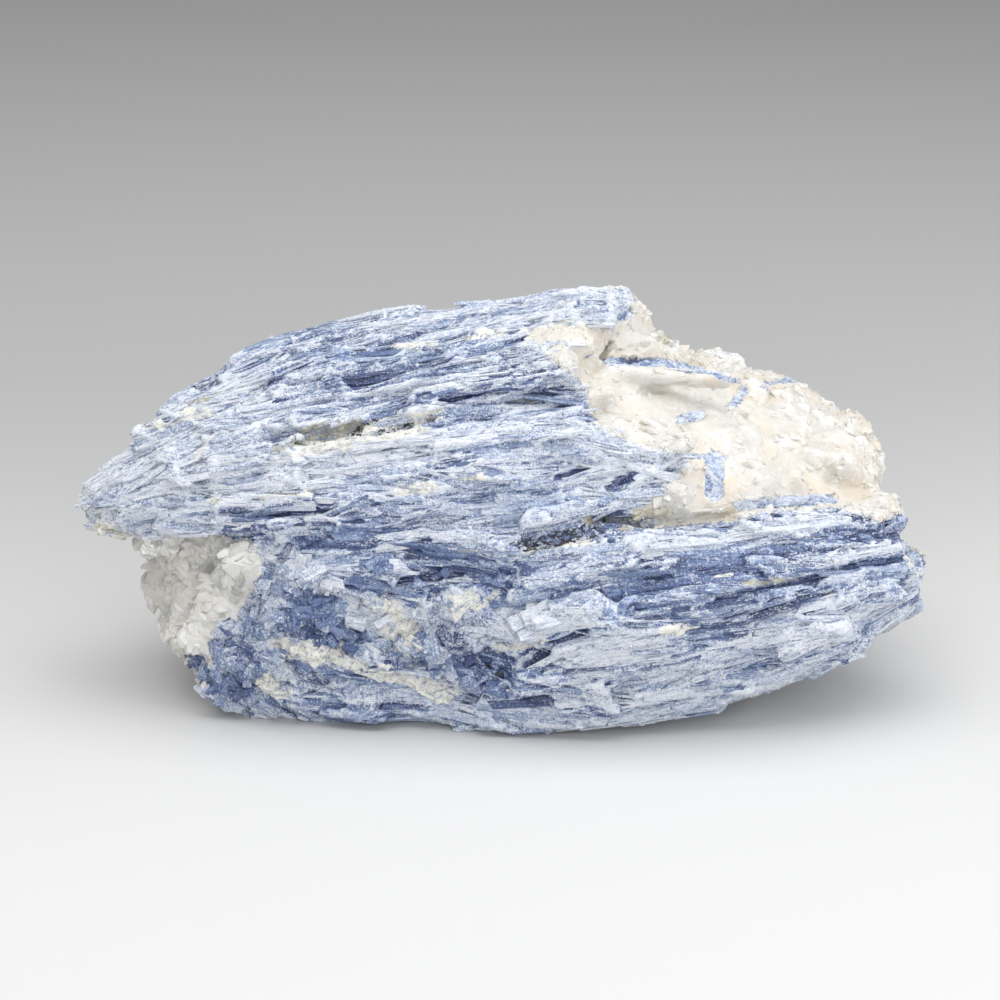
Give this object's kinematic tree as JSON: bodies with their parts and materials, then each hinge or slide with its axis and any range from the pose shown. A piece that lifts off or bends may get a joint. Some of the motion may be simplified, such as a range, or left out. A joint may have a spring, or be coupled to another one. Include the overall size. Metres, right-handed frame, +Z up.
{
  "type": "kyanite blade cluster",
  "caption": "Hand-sized mineral specimen: bundles of flat blue kyanite blades grown through lumpy white quartz.",
  "frame": {"origin": "on the ground, under the middle of the stone's length and depth", "axes": "+X to the right along the blades, +Y towards the back of the stone, +Z up"},
  "size_m": [0.205, 0.1072, 0.0947],
  "materials": {
    "kyanite": "satin",
    "quartz": "satin"
  },
  "bodies": {
    "root": {"kyanite_cluster": "kyanite"}
  },
  "joints": []
}
